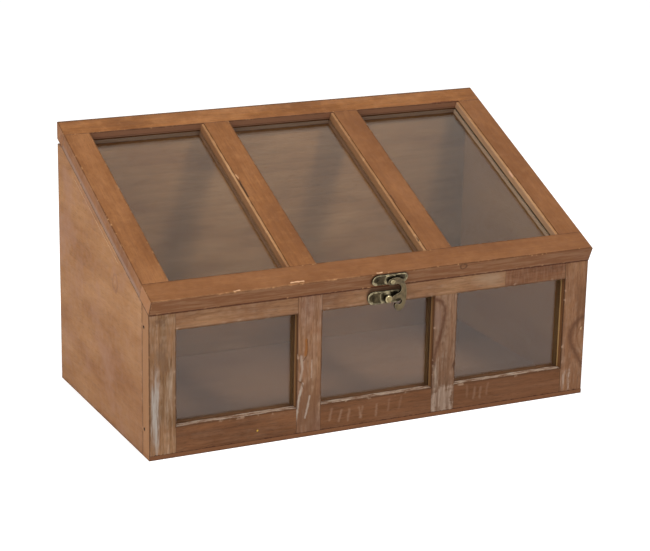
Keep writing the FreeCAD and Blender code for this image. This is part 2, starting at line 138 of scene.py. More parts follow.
def stretched(tree, place, x, y, z):
    """A place scaled along each axis: a texture is drawn out where the factor is small."""
    return add(tree, "Mapping", {"Vector": place, "Scale": (x, y, z)}).outputs[0]


def mixed(tree, share, below, above, **settings):
    """Two colours mixed, with a share of the one above."""
    return add(tree, "Mix", {0: share, 6: below, 7: above}, data_type="RGBA", **settings).outputs[2]


def timber(name, piece, grain_turn, seed, tones, ring_gap, ring_depth, fibre_depth, pore_depth=0.22):
    """Start a timber material whose grain runs through the solid along the piece.

    tones are the darkest, middle and palest colour of the stained wood, ring_gap is the
    spacing of the growth rings in mm, and seed moves the piece to its own spot in the tree.
    Of the places in mm, there is in the room, local is from the middle of the piece and
    along its grain, and grain is from the heart of the tree.
    """
    material, tree = new_material(name)
    rotation = Euler(grain_turn).to_matrix()
    turned = [rotation @ v.co * 1000.0 for v in nodes[piece].data.vertices]
    low = Vector([min(p[i] for p in turned) for i in range(3)])
    high = Vector([max(p[i] for p in turned) for i in range(3)])
    middle = (low + high) / 2.0
    half = (high - low) / 2.0
    place = add(tree, "TexCoord").outputs["Object"]
    local = add(tree, "Mapping", {"Vector": place, "Location": -middle, "Rotation": grain_turn,
                                  "Scale": (1000.0, 1000.0, 1000.0)}).outputs[0]
    heart = (seed * 71.3, 38.0 + 9.0 * math.sin(seed * 2.1), 21.0 + 13.0 * math.cos(seed * 1.7))
    grain = vector(tree, "ADD", local, heart)
    drawn = stretched(tree, grain, 0.07, 1.0, 1.0)
    ring_period = 0.314
    rings = add(tree, "TexWave", {"Vector": drawn, "Scale": ring_period / ring_gap, "Distortion": 7.0,
                                  "Detail": 2.0, "Detail Scale": 0.5, "Detail Roughness": 0.45},
                wave_type="RINGS", rings_direction="X", wave_profile="SAW").outputs["Fac"]
    fibre = noise(tree, drawn, 0.7, 7.0, 0.68)
    pores = noise(tree, stretched(tree, grain, 0.11, 1.0, 1.0), 1.5, 3.0, 0.6)
    cloud = noise(tree, stretched(tree, grain, 0.35, 1.0, 1.0), 0.035, 3.0, 0.55)
    colour = add(tree, "ValToRGB", {"Fac": cloud},
                 stops=[(0.32, tones[0]), (0.5, tones[1]), (0.68, tones[2])]).outputs[0]
    ring_shade = ranged(tree, rings, 0.2, 0.8, 1.0 - ring_depth, 1.0 + ring_depth * 0.35)
    fibre_shade = ranged(tree, fibre, 0.35, 0.65, 1.0 - fibre_depth, 1.0 + fibre_depth * 0.8)
    pore_shade = ranged(tree, pores, 0.53, 0.68, 1.0, 1.0 - pore_depth)
    for shade in (ring_shade, fibre_shade, pore_shade):
        colour = mixed(tree, 1.0, colour, shade, blend_type="MULTIPLY")
    split = add(tree, "SeparateXYZ", {0: local}).outputs
    gaps = []
    for axis in range(3):
        out = calc(tree, "ABSOLUTE", split[axis])
        gaps.append(calc(tree, "SUBTRACT", half[axis], out))
    nearer = calc(tree, "MINIMUM", gaps[0], gaps[1])
    further = calc(tree, "MAXIMUM", gaps[0], gaps[1])
    further = calc(tree, "MINIMUM", further, gaps[2])
    return types.SimpleNamespace(
        material=material, tree=tree, place=place, there=scaled(tree, place, 1000.0),
        rotation=rotation, split=split, half=half, rings=rings, fibre=fibre, colour=colour,
        edge=calc(tree, "MAXIMUM", nearer, further),
        uneven=noise(tree, grain, 0.16, 3.0),
        streaks=noise(tree, drawn, 0.34, 4.0, 0.7))


def lay(wood, mask, colour, strength=1.0):
    """Lay a colour over the wood where the mask is 1."""
    share = calc(wood.tree, "MULTIPLY", mask, strength, clamp=True)
    wood.colour = mixed(wood.tree, share, wood.colour, linear(colour))


def times(wood, a, b):
    """One mask inside another."""
    return calc(wood.tree, "MULTIPLY", a, b)


def span(wood, value, start, stop):
    """Mask that climbs from 0 to 1 as a value goes from start to stop."""
    return ranged(wood.tree, value, start, stop)


def room(wood, axis):
    """Place in the room in mm along an axis: 0 to the right, 1 to the back and 2 up."""
    return add(wood.tree, "SeparateXYZ", {0: wood.there}).outputs[axis]


def outer_face(wood, towards, skin=0.5):
    """Mask of the piece's face that looks towards a direction, about skin deep in mm."""
    turned = wood.rotation @ towards
    axis = max(range(3), key=lambda i: abs(turned[i]))
    value = times(wood, wood.split[axis], math.copysign(1.0, turned[axis]))
    return span(wood, value, wood.half[axis] - skin, wood.half[axis] - skin * 0.5)


def stroke(wood, points, width, soft=0.6, waver=0.8):
    """Mask of a line through points in mm, width in mm to each side, with a wavering edge."""
    tree = wood.tree
    wave = add(tree, "TexNoise", {"Vector": wood.there, "Scale": 0.35, "Detail": 3.0}).outputs["Color"]
    wave = vector(tree, "SUBTRACT", wave, (0.5, 0.5, 0.5))
    wave = vector(tree, "MULTIPLY_ADD", wave, (waver * 2.0,) * 3, wood.there)
    reach = None
    for start, stop in zip(points, points[1:]):
        run = Vector(stop) - Vector(start)
        away = vector(tree, "SUBTRACT", wave, start)
        along = vector(tree, "DOT_PRODUCT", away, run / run.length_squared)
        along = calc(tree, "ADD", along, 0.0, clamp=True)
        gap = vector(tree, "DISTANCE", away, scaled(tree, run, along))
        reach = gap if reach is None else calc(tree, "MINIMUM", reach, gap)
    return span(wood, reach, width, width * (1.0 - soft))


def edge_stain(wood, reach, colour, strength):
    """Darken the arrises, where stain gathers, out to about reach in mm."""
    wavy = times(wood, wood.uneven, reach * 1.6)
    lay(wood, span(wood, wood.edge, wavy, 0.1), colour, strength)


def edge_wear(wood, reach, colour, strength):
    """Pale chips and rubbed places along the arrises, up to reach in mm from the edge."""
    chips = noise(wood.tree, wood.there, 0.22, 4.0, 0.65)
    near = span(wood, wood.edge, reach, reach * 0.4)
    lay(wood, times(wood, near, span(wood, chips, 0.58, 0.7)), colour, strength)


def inside(wood, centre, size):
    """Place within an ellipsoid at a point, size to each side in mm: 0 in its middle, 1 at its skin."""
    return add(wood.tree, "Mapping", {
        "Vector": wood.place, "Location": [c / 1000.0 for c in centre],
        "Scale": [s / 1000.0 for s in size]}, vector_type="TEXTURE").outputs[0]


def spot(wood, centre, size, ragged=0.5, soft=0.5):
    """Mask of a patch at a point, size to each side in mm, with a ragged edge."""
    within = inside(wood, centre, size)
    rough = ranged(wood.tree, noise(wood.tree, within, 2.2, 3.0, 0.6), 0.3, 0.7, -ragged, ragged)
    reach = calc(wood.tree, "ADD", vector(wood.tree, "LENGTH", within), rough)
    return ranged(wood.tree, reach, 1.0, 1.0 - soft, interpolation_type="SMOOTHSTEP")


def knot(wood, centre, size, ring, heart, strength):
    """A small knot: a ring in one colour round a heart in another."""
    within = inside(wood, centre, size)
    wobble = ranged(wood.tree, noise(wood.tree, within, 1.1), 0.0, 1.0, -0.35, 0.35)
    reach = calc(wood.tree, "ADD", vector(wood.tree, "LENGTH", within), wobble)
    ring_at = 0.72
    off_ring = calc(wood.tree, "ABSOLUTE", calc(wood.tree, "SUBTRACT", reach, ring_at))
    lay(wood, span(wood, off_ring, 0.22, 0.04), ring, strength)
    lay(wood, span(wood, reach, 0.3, 0.1), heart, strength)


def finish_timber(wood, roughness=0.62):
    """Close the material with a satin oiled surface and the fine relief of the fibres."""
    tree = wood.tree
    rough = ranged(tree, wood.uneven, 0.3, 0.7, roughness - 0.08, roughness + 0.1)
    height = calc(tree, "MULTIPLY_ADD", wood.fibre, wood.rings, 0.6)
    bump = add(tree, "Bump", {"Height": height, "Strength": 0.35, "Distance": 0.0003}).outputs[0]
    shader = add(tree, "BsdfPrincipled", {"Base Color": wood.colour, "Roughness": rough,
                                          "Normal": bump, "IOR": 1.46,
                                          "Specular IOR Level": 0.2})
    add(tree, "OutputMaterial", {"Surface": shader.outputs[0]})
    return wood.material


def dress(piece, material, eased=0.0):
    """Give a piece of the frame its material, and round its arrises by eased, in mm."""
    mesh = nodes[piece].data
    mesh.materials.clear()
    mesh.materials.append(material)
    if eased:
        weld = nodes[piece].modifiers.new("joined faces", "WELD")
        weld.merge_threshold = 0.00001
        ease = nodes[piece].modifiers.new("eased arrises", "BEVEL")
        ease.width = eased / 1000.0
        ease.segments = 2
        ease.limit_method = "ANGLE"
        ease.angle_limit = math.radians(50.0)


def line_lid_seam(wood, out, soft, waver):
    """A painted shadow line for the slit between the lid and the box, down the side of the box."""
    seam = [(out, front_face, lid_level), (out, seam_back.y, seam_back.z)]
    lay(wood, stroke(wood, seam, 0.55, soft=soft, waver=waver), "#42220E", 0.8)


inside_shade = 0.12
side_tones = ("#8F5F36", "#A07045", "#AE7F55")
for side, out, seed in (("left", -half_width, 1.0), ("right", half_width, 5.0)):
    piece = side + "_side_panel"
    board = timber("stained fir " + side + " side", piece, along_y, seed, side_tones, ring_gap=7.0,
                   ring_depth=0.05, fibre_depth=0.07)
    if side == "left":
        knot(board, (out, -28.0, 119.6), (6.0, 7.0, 9.0), "#7B5137", "#A88068", 0.6)
        crack = [(out, 62.0, 180.0), (out, -35.0, 137.7)]
        lip = [(x, y, z - 1.1) for x, y, z in crack]
        lay(board, stroke(board, lip, 0.55), "#C39C74", 0.6)
        lay(board, stroke(board, crack, 0.5), "#6E472B", 0.7)
    # Painted shade: the boards grow darker towards the foot, and darker still low down near the front.
    painted_low_shade = span(board, room(board, 2), 150.0, -30.0)
    lay(board, painted_low_shade, "#75492A", 0.28)
    painted_front_shade = span(board, room(board, 1), 20.0, -90.0)
    lay(board, times(board, painted_low_shade, painted_front_shade), "#6B4226", 0.45)
    rosy = noise(board.tree, board.there, 0.03, 4.0, 0.6)
    lay(board, span(board, rosy, 0.5, 0.66), "#9A7058", 0.5)
    edge_stain(board, 2.6, "#5A3820", 0.8)
    edge_wear(board, 2.2, "#BE9468", 0.6)
    line_lid_seam(board, out, soft=0.5, waver=0.5)
    inner = outer_face(board, to_right if side == "left" else to_left)
    lay(board, inner, "#4A3120", inside_shade)
    if side == "right":
        lay(board, inner, "#7C5224", 0.55)
    dress(piece, finish_timber(board), eased=0.3)

# Back and floor
# The same boards, let into rebates of the sides. They show through the glass and from behind,
# and the edge of the floor shows as a thin strip under the front frame.
to_front = Vector((0.0, -1.0, 0.0))
to_top = Vector((0.0, 0.0, 1.0))
lengthwise = (0.0, 0.0, 0.0)
board = timber("stained fir back", "back_panel", lengthwise, 8.0, side_tones, ring_gap=8.0,
               ring_depth=0.06, fibre_depth=0.08)
inner = outer_face(board, to_front)
lay(board, inner, "#4A3120", inside_shade * 0.5)
# Painted shade on the inner face: darker towards the right-hand corner and towards the floor.
lay(board, times(board, inner, span(board, room(board, 0), 95.0, 178.0)), "#54361A", 0.5)
lay(board, times(board, inner, span(board, room(board, 2), 85.0, 15.0)), "#4E3524", 0.5)
dress("back_panel", finish_timber(board), eased=0.3)
board = timber("stained fir floor", "floor_panel", lengthwise, 11.0, side_tones, ring_gap=8.0,
               ring_depth=0.06, fibre_depth=0.08)
inner = outer_face(board, to_top)
lay(board, inner, "#6E5444", 0.65)
# Painted shade: the top of the floor grows darker towards the back.
lay(board, times(board, inner, span(board, room(board, 1), -30.0, 70.0)), "#4A3224", 0.55)
lay(board, outer_face(board, to_front), "#6C432A", 0.85)
edge_stain(board, 1.2, "#3A2415", 0.8)
dress("floor_panel", finish_timber(board))

# Front frame
# Stiles, bars and rails of sanded fir, washed thinly with grey-white over the stain.
# The wash is rubbed off along the edges and lies thickest at the foot of the left stile.
upright = (0.0, math.radians(90.0), 0.0)
bars = ("front_left_stile", "front_left_muntin", "front_right_muntin", "front_right_stile")
windows = [(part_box(before)[1].x * 1000.0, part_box(after)[0].x * 1000.0)
           for before, after in zip(bars, bars[1:])]
window_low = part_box("front_bottom_rail")[1].z * 1000.0
window_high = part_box("front_top_rail_left")[0].z * 1000.0
frame_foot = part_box("front_bottom_rail")[0].z * 1000.0


def on_front(points):
    """Points across and up on the front face, as points in the room."""
    return [(x, front_face, z) for x, z in points]


def front_spot(wood, x, z, wide, high, **edge):
    """Mask of a patch on the front face, wide and high to each side in mm."""
    depth = 6.0
    return spot(wood, (x, front_face, z), (wide, depth, high), **edge)


def behind_front(wood):
    """Distance in mm behind the front face."""
    return calc(wood.tree, "SUBTRACT", room(wood, 1), front_face)


def window_border(wood, left, right):
    """Distance in mm from the border of a window, measured in the front's own plane."""
    gaps = []
    for axis, low_side, high_side in ((0, left, right), (2, window_low, window_high)):
        off = calc(wood.tree, "SUBTRACT", room(wood, axis), (low_side + high_side) / 2.0)
        off = calc(wood.tree, "ABSOLUTE", off)
        gaps.append(calc(wood.tree, "SUBTRACT", off, (high_side - low_side) / 2.0))
    return calc(wood.tree, "MAXIMUM", *gaps)


def line_reveal(bar, strip_from, golden):
    """The side of a bar that closes a window on its right: dark at the arris, then brown, then a
    golden strip from strip_from mm behind the front face, as strong as golden says, then a painted
    shadow in the gap at the glass and paler wood behind it."""
    reveal = outer_face(bar, to_left)
    depth = calc(bar.tree, "ADD", behind_front(bar), times(bar, bar.streaks, 1.6))
    lay(bar, reveal, "#6B4526", 0.85)
    lay(bar, times(bar, reveal, span(bar, depth, 2.1, 1.1)), "#33200F", 0.8)
    strip = times(bar, span(bar, depth, strip_from - 0.4, strip_from),
                  span(bar, depth, strip_from + 1.9, strip_from + 1.5))
    lay(bar, times(bar, reveal, strip), "#B08A58", golden)
    # Painted shadow in the gap at the glass.
    gap = span(bar, depth, strip_from + 1.6, strip_from + 2.1)
    lay(bar, times(bar, reveal, gap), "#2C1B0E", 0.85)
    lay(bar, times(bar, reveal, span(bar, depth, 8.5, 9.1)), "#6E5236", 0.8)


def mark_left_stile(bar):
    """Thick grey wash down the outer half and at the foot, rubbed brown further up."""
    thick = front_spot(bar, -185.0, 38.0, 4.5, 44.0, ragged=0.3, soft=0.7)
    lay(bar, times(bar, thick, span(bar, bar.streaks, 0.36, 0.5)), "#A79D94", 0.85)
    thick = front_spot(bar, -174.0, 50.0, 4.0, 46.0, ragged=0.3, soft=0.8)
    lay(bar, times(bar, thick, bar.brushed), "#B09C88", 0.6)
    lay(bar, front_spot(bar, -180.0, 80.0, 7.0, 16.0, soft=0.9), "#6A5240", 0.6)
    lay(bar, front_spot(bar, -181.0, 108.0, 7.0, 5.0, soft=0.9), "#5F4330", 0.6)
    lay(bar, outer_face(bar, to_left), "#9C6E48", 0.75)
    lay(bar, outer_face(bar, to_right), "#4A2E1B", 0.7)


def mark_right_stile(bar):
    """A half-moon of darker grain at mid height, a painted shade line down the outer corner and a pale
    foot.
    """
    arc = on_front([(191.0, 68.0), (184.0, 64.5), (178.6, 59.0), (176.2, 52.0), (177.4, 45.0),
                    (181.2, 37.6), (186.0, 30.0), (189.0, 25.0)])
    lay(bar, stroke(bar, arc, 3.6, soft=0.9, waver=1.4), "#5C3B27", 0.85)
    arc = on_front([(189.5, 60.0), (184.6, 56.5), (182.6, 50.0), (184.6, 43.0), (188.0, 37.0)])
    lay(bar, stroke(bar, arc, 1.2, soft=0.9, waver=1.2), "#6A452D", 0.5)
    lay(bar, stroke(bar, on_front([(186.4, 56.0), (186.8, 57.0)]), 1.0, waver=0.2), "#C9A57C", 0.9)
    lay(bar, stroke(bar, on_front([(187.4, 56.8), (187.5, 56.2)]), 0.6, waver=0.2), "#2E1B10", 0.9)
    # Painted shade down the outer corner.
    corner = on_front([(half_width, 0.0), (half_width, lid_level)])
    lay(bar, stroke(bar, corner, 0.8, soft=0.6, waver=1.2), "#4E2E1C", 0.75)
    pale = front_spot(bar, 174.0, 13.0, 5.5, 12.0, ragged=0.4, soft=0.6)
    lay(bar, times(bar, pale, bar.brushed), "#A9988A", 0.7)
    line_reveal(bar, strip_from=5.3, golden=0.9)


def mark_left_muntin(bar):
    """Pale brush strokes running down, a small orange gouge near the top and a dark scratch."""
    line_reveal(bar, strip_from=4.3, golden=0.35)
    lay(bar, outer_face(bar, to_right), "#4E321E", 0.75)
    lay(bar, front_spot(bar, -59.0, 20.0, 14.0, 34.0, ragged=0.3, soft=0.6), "#64422C", 0.6)
    for points, width, share in (
            ([(-64.5, 44.0), (-66.5, 36.1), (-67.7, 30.5), (-69.3, 19.4), (-71.0, 7.4)], 1.5, 0.65),
            ([(-58.4, 33.0), (-59.4, 27.0), (-61.9, 15.8)], 1.1, 0.5),
            ([(-66.0, 66.0), (-65.0, 56.0), (-66.4, 47.0)], 1.5, 0.5),
            ([(-57.0, 62.0), (-57.0, 48.0)], 0.8, 0.4)):
        brush = stroke(bar, on_front(points), width, soft=0.7)
        lay(bar, times(bar, brush, span(bar, bar.streaks, 0.3, 0.45)), "#B9AB9C", share)
    for points, width, colour, share in (
            ([(-61.8, 79.0), (-61.4, 73.0), (-62.4, 67.0)], 1.7, "#8A5424", 0.8),
            ([(-60.9, 79.0), (-60.3, 73.0), (-61.3, 66.0), (-64.5, 62.5)], 0.5, "#4E3220", 0.7),
            ([(-68.6, 47.0), (-64.6, 44.0), (-63.6, 40.0)], 0.7, "#5A3C28", 0.6)):
        lay(bar, stroke(bar, on_front(points), width), colour, share)


def mark_right_muntin(bar):
    """A long curve of dark grain down the left edge, two chips and a rubbed, pale foot."""
    line_reveal(bar, strip_from=4.3, golden=0.35)
    lay(bar, outer_face(bar, to_right), "#4E321E", 0.75)
    curve = on_front([(50.5, 97.5), (54.5, 95.5), (57.8, 91.0), (58.6, 85.0), (57.6, 77.0),
                      (55.6, 68.0), (52.4, 58.0), (50.2, 50.0), (49.4, 44.0)])
    lay(bar, stroke(bar, curve, 2.8, soft=0.9, waver=1.0), "#52301E", 0.8)
    lay(bar, front_spot(bar, 52.6, 82.0, 4.6, 15.0, ragged=0.2, soft=0.7), "#7B6052", 0.6)
    chip = on_front([(69.2, 44.0), (68.0, 41.0), (69.4, 37.4)])
    lay(bar, stroke(bar, chip, 1.7, waver=0.4), "#4A2E1D", 0.85)
    chip = on_front([(48.8, 46.0), (51.0, 43.0), (50.0, 39.0)])
    lay(bar, stroke(bar, chip, 1.0), "#4F3424", 0.7)
    pale = front_spot(bar, 58.5, 12.0, 12.5, 15.0, ragged=0.5, soft=0.45)
    lay(bar, times(bar, pale, span(bar, bar.streaks, 0.3, 0.56)), "#A18A78", 0.8)
    pale = front_spot(bar, 54.0, 34.0, 6.0, 22.0, soft=0.8)
    lay(bar, times(bar, pale, bar.brushed), "#AB9785", 0.6)


def mark_bottom_rail(bar):
    """Short faint brush ticks, one yellow fleck, redder wood to the right and a worn, pale ledge."""
    tick_half = 4.4
    for x, z, lean, share in ((-39.9, 14.9, 1.0, 0.3), (-31.8, 12.9, 1.2, 0.375),
                              (-24.3, 12.6, 0.6, 0.3375), (-14.6, 13.2, -1.0, 0.3),
                              (-13.2, 13.2, 1.2, 0.3), (0.0, 12.9, 0.3, 0.3375),
                              (10.7, 15.8, 0.5, 0.225), (20.8, 16.3, 1.0, 0.1875),
                              (81.4, 16.8, 0.0, 0.225), (88.0, 14.7, 0.6, 0.375),
                              (93.6, 14.2, 0.4, 0.375), (99.9, 16.7, 0.6, 0.2625)):
        tick = on_front([(x - lean, z - tick_half), (x + lean, z + tick_half)])
        lay(bar, stroke(bar, tick, 1.6, soft=1.0, waver=1.1), "#B4937A", share)
    fleck = on_front([(-102.0, 11.1), (-101.8, 11.3)])
    lay(bar, stroke(bar, fleck, 0.8, waver=0.1), "#D9B23A", 0.9)
    lay(bar, span(bar, room(bar, 0), -110.0, 60.0), "#56341E", 0.42)
    ledge = outer_face(bar, to_top)
    worn = noise(bar.tree, stretched(bar.tree, bar.there, 0.22, 1.0, 1.0), 0.5, 5.0, 0.75)
    depth = calc(bar.tree, "ADD", behind_front(bar), times(bar, worn, 6.0))
    lay(bar, ledge, "#6A4830", 0.75)
    pale = times(bar, span(bar, depth, 3.5, 4.1), span(bar, depth, 10.3, 9.5))
    lay(bar, times(bar, ledge, times(bar, pale, span(bar, worn, 0.42, 0.62))), "#C2AF9C", 0.8)


def mark_top_rail_left(bar):
    """A paler patch before the joint of the two lengths."""
    lay(bar, front_spot(bar, 98.0, 109.0, 20.0, 8.0, ragged=0.2, soft=0.9), "#9A7F66", 0.6)


def mark_top_rail_right(bar):
    """Upright bars of lighter and darker stain across the grain."""
    teeth = noise(bar.tree, stretched(bar.tree, bar.there, 1.0, 1.0, 0.12), 0.55, 3.0, 0.7)
    lay(bar, span(bar, teeth, 0.45, 0.65), "#A78B74", 0.15)
    lay(bar, span(bar, teeth, 0.5, 0.3), "#6A4530", 0.3)


def line_stile_corner(bar, out):
    """The seams, and the corner and the two nail holes painted dark as shade, on the outer side of a
    stile.
    """
    line_lid_seam(bar, out, soft=0.4, waver=0.6)
    back_seam = front_face + 13.0
    nail = front_face + 10.0
    # The dark line down the front corner and the dark in the two nail holes are painted shade.
    for y, low, high, width, colour, share in (
            (front_face, 1.0, lid_level, 1.0, "#4A2E1A", 0.75),
            (back_seam, 1.0, 120.0, 0.6, "#5A3A20", 0.7),
            (nail, 22.3, 22.4, 1.7, "#1E1008", 0.95),
            (nail, 102.7, 102.8, 1.7, "#1E1008", 0.95)):
        line = stroke(bar, [(out, y, low), (out, y, high)], width, soft=0.4, waver=0.6)
        lay(bar, line, colour, share)


front_pieces = (
    ("front_left_stile", upright, 2.0, ("#745537", "#866041", "#96704F"), 0.38, mark_left_stile),
    ("front_right_stile", upright, 3.0, ("#6E4A32", "#845B3E", "#926A47"), 0.25, mark_right_stile),
    ("front_left_muntin", upright, 4.0, ("#755240", "#8A6245", "#9A7656"), 0.4, mark_left_muntin),
    ("front_right_muntin", upright, 6.0, ("#684A36", "#7D5B43", "#8E6C53"), 0.35, mark_right_muntin),
    ("front_bottom_rail", lengthwise, 7.0, ("#643F26", "#774D2F", "#83583B"), 0.08, mark_bottom_rail),
    ("front_top_rail_left", lengthwise, 9.0, ("#785238", "#8C6445", "#9A7554"), 0.2, mark_top_rail_left),
    ("front_top_rail_right", lengthwise, 12.0, ("#633C25", "#774D32", "#855C3E"), 0.12,
     mark_top_rail_right))
for piece, turn, seed, tones, washed, mark in front_pieces:
    bar = timber("washed fir " + piece.replace("_", " "), piece, turn, seed, tones,
                 ring_gap=3.6, ring_depth=0.06, fibre_depth=0.16, pore_depth=0.3)
    bar.brushed = span(bar, bar.streaks, 0.42, 0.62)
    lay(bar, times(bar, span(bar, bar.uneven, 0.35, 0.65), bar.brushed), "#B49A84", washed)
    bare = times(bar, span(bar, bar.streaks, 0.5, 0.36), span(bar, bar.uneven, 0.4, 0.6))
    lay(bar, bare, "#5F3F28", washed * 0.9 + 0.1)
    mark(bar)
    edge_stain(bar, 0.5, "#4E3220", 0.3)
    face = span(bar, behind_front(bar), 0.7, 0.3)
    for left, right in windows:
        border = window_border(bar, left, right)
        lay(bar, times(bar, face, span(bar, border, 1.5, 0.2)), "#4A2E1B", 0.75)
        chipped = times(bar, span(bar, border, 2.4, 1.2), span(bar, bar.uneven, 0.6, 0.68))
        lay(bar, times(bar, face, chipped), "#BFA288", 0.4)
    foot = on_front([(-half_width, frame_foot), (half_width, frame_foot)])
    lay(bar, stroke(bar, foot, 0.8, soft=0.6, waver=1.0), "#3A1C0C", 0.85)
    # Painted shadow under the lid along the top of the front.
    seam = on_front([(-half_width, lid_level + 0.2), (half_width, lid_level + 0.2)])
    lay(bar, stroke(bar, seam, 1.1, soft=0.5, waver=0.5), "#4A2210", 0.9)
    if piece.endswith("stile"):
        line_stile_corner(bar, -half_width if piece == "front_left_stile" else half_width)
    if piece == "front_top_rail_left":
        # Painted shadow round the catch plate.
        painted_plate_shadow = on_front([(-6.0, 108.0), (17.0, 108.0)])
        lay(bar, stroke(bar, painted_plate_shadow, 6.4, soft=0.3, waver=0.4), "#2A180C", 0.7)
    dress(piece, finish_timber(bar, roughness=0.7), eased=0.12)

# Edge nails
# Thin steel nails driven through the stiles into the rails, sunk and painted near black as the shade in
# their holes.
# Their ends show at the foot of small holes in the outer sides of the stiles.
steel, tree = new_material("near-black steel nail")
nail_mottle = noise(tree, add(tree, "TexCoord").outputs["Object"], 900.0)
tint = add(tree, "ValToRGB", {"Fac": nail_mottle}, stops=[(0.3, "#0F0B08"), (0.7, "#1E1712")]).outputs[0]
shader = add(tree, "BsdfPrincipled", {"Base Color": tint, "Metallic": 1.0, "Roughness": 0.8})
add(tree, "OutputMaterial", {"Surface": shader.outputs[0]})
dress("front_frame_nails", steel)

# Lid frame
# Two full-width rails with stiles and bars let in between them, stained a deeper orange brown.
# The top faces are smooth and satin, and the stain is darkest along the arrises and joints.
slope = math.radians(23.9)
up_slope = (-slope, 0.0, math.radians(-90.0))
cross_slope = (-slope, 0.0, 0.0)
lid_tones = ("#754722", "#8A582E", "#9E6A3F")


def mark_lid_front_rail(bar):
    """A duller front face with a knot and the painted shadow of the latch plate, under a chipped, pale
    arris, with a painted shadow line where the lid meets the box.
    """
    front = outer_face(bar, to_front)
    lay(bar, front, "#7C4F31", 0.75)
    lay(bar, times(bar, front, span(bar, bar.streaks, 0.45, 0.6)), "#9E7858", 0.4)
    # Painted shadow round the latch plate.
    painted_plate_shadow = [(-5.0, -103.2, 119.6), (18.0, -103.2, 119.6)]
    lay(bar, stroke(bar, painted_plate_shadow, 6.4, soft=0.3, waver=0.4), "#2A180C", 0.7)
    lay(bar, outer_face(bar, to_left), "#A06D43", 0.75)
    knot(bar, (71.2, -103.4, 122.9), (4.4, 4.0, 3.4), "#4C2F1C", "#6A4830", 0.8)
    arris_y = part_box("lid_front_rail")[0].y * 1000.0
    arris_z = 126.2
    for start, stop, width, waver, colour, share in (
            (-188.0, -20.0, 0.7, 0.5, "#C08C60", 0.55),
            (40.0, 188.0, 0.6, 0.6, "#5A3820", 0.6)):
        arris = [(start, arris_y, arris_z), (stop, arris_y, arris_z)]
        lay(bar, stroke(bar, arris, width, waver=waver), colour, share)
    for start, stop, off_arris in ((-124.0, -119.0, 1.0), (-77.0, -66.0, 2.4), (-4.5, -0.5, 1.2),
                                   (-60.0, -57.0, -4.0), (-56.0, -54.0, -4.4)):
        chip = [(start, arris_y + off_arris * 0.9, arris_z + off_arris * 0.45),
                (stop, arris_y + off_arris, arris_z + off_arris * 0.5)]
        lay(bar, stroke(bar, chip, 0.8, waver=0.9), "#E0B48C", 0.8)
    # Painted shadow where the lid meets the top of the box.
    painted_lid_shadow = [(-half_width, front_face, lid_level), (half_width, front_face, lid_level)]
    lay(bar, stroke(bar, painted_lid_shadow, 0.6, soft=0.5, waver=0.4), "#4A2210", 0.85)


def mark_lid_back_rail(bar):
    """A paler low face above the panes with dark seams, a dark back arris and a scraped place."""
    low_face = outer_face(bar, to_front)
    lay(bar, low_face, "#9E7157", 0.85)
    height = bar.split[2]
    for low_side, high_side, colour in ((-6.6, -0.9, "#9A8272"), (-0.9, 0.2, "#301B0F"),
                                        (0.9, 1.5, "#301B0F")):
        band = times(bar, span(bar, height, low_side, low_side + 0.3),
                     span(bar, height, high_side, high_side - 0.3))
        lay(bar, times(bar, low_face, band), colour, 0.85)
    top_back = [(-half_width, 101.3, 216.9), (half_width, 101.3, 216.9)]
    lay(bar, stroke(bar, top_back, 1.2, soft=0.6, waver=0.8), "#4A2A14", 0.75)
    scrape = [(143.0, 85.8, 209.9), (157.0, 86.2, 210.1), (168.0, 85.6, 209.8)]
    lay(bar, stroke(bar, scrape, 1.1, waver=1.2), "#57280F", 0.85)


def line_ledge(bar, colour):
    """The foot of the side that looks left, which beside a pane is the ledge under the glass."""
    side = span(bar, bar.split[1], bar.half[1] - 2.7, bar.half[1] - 2.4)
    ledge = times(bar, side, span(bar, bar.split[2], -2.3, -2.6))
    lay(bar, ledge, colour, 0.8)
    return ledge


def mark_lid_left_stile(bar):
    """A bright inner side and a crack with a pale lip along the outer one."""
    lay(bar, outer_face(bar, to_right), "#8E5E34", 0.8)
    crack = [(-half_width, 5.5, 162.1), (-half_width, -39.5, 142.2)]
    lip = [(x, y, z - 0.9) for x, y, z in crack]
    lay(bar, stroke(bar, lip, 0.5, waver=0.3), "#C8A078", 0.7)
    lay(bar, stroke(bar, crack, 0.45, waver=0.3), "#2E1C10", 0.85)
    line_ledge(bar, "#8A6A56")


def mark_lid_right_stile(bar):
    """A dark ledge with a pale lip beside the right pane."""
    ledge = line_ledge(bar, "#4A3222")
    lip = span(bar, bar.split[1], bar.half[1] - 1.3, bar.half[1] - 1.1)
    lay(bar, times(bar, ledge, lip), "#CDAE96", 0.85)


def mark_lid_left_muntin(bar):
    """A split along the bead, with a pale chip above it."""
    crack = [(-69.5, 14.0, 178.0), (-69.7, -5.0, 169.6)]
    lay(bar, stroke(bar, crack, 0.8, waver=0.6), "#2A170C", 0.85)
    chip = [(-69.6, 21.0, 181.1), (-69.0, 17.0, 179.3)]
    lay(bar, stroke(bar, chip, 0.9), "#C89A70", 0.7)
    line_ledge(bar, "#8A6A56")


def mark_lid_right_muntin(bar):
    """Two short splits along the bead."""
    crack = [(48.7, -19.8, 163.0), (48.5, -28.3, 159.3)]
    lay(bar, stroke(bar, crack, 0.5, waver=0.6), "#2A170C", 0.85)
    crack = [(48.2, -50.5, 149.4), (48.2, -54.5, 147.6)]
    lay(bar, stroke(bar, crack, 0.8), "#2A170C", 0.85)
    line_ledge(bar, "#8A6A56")


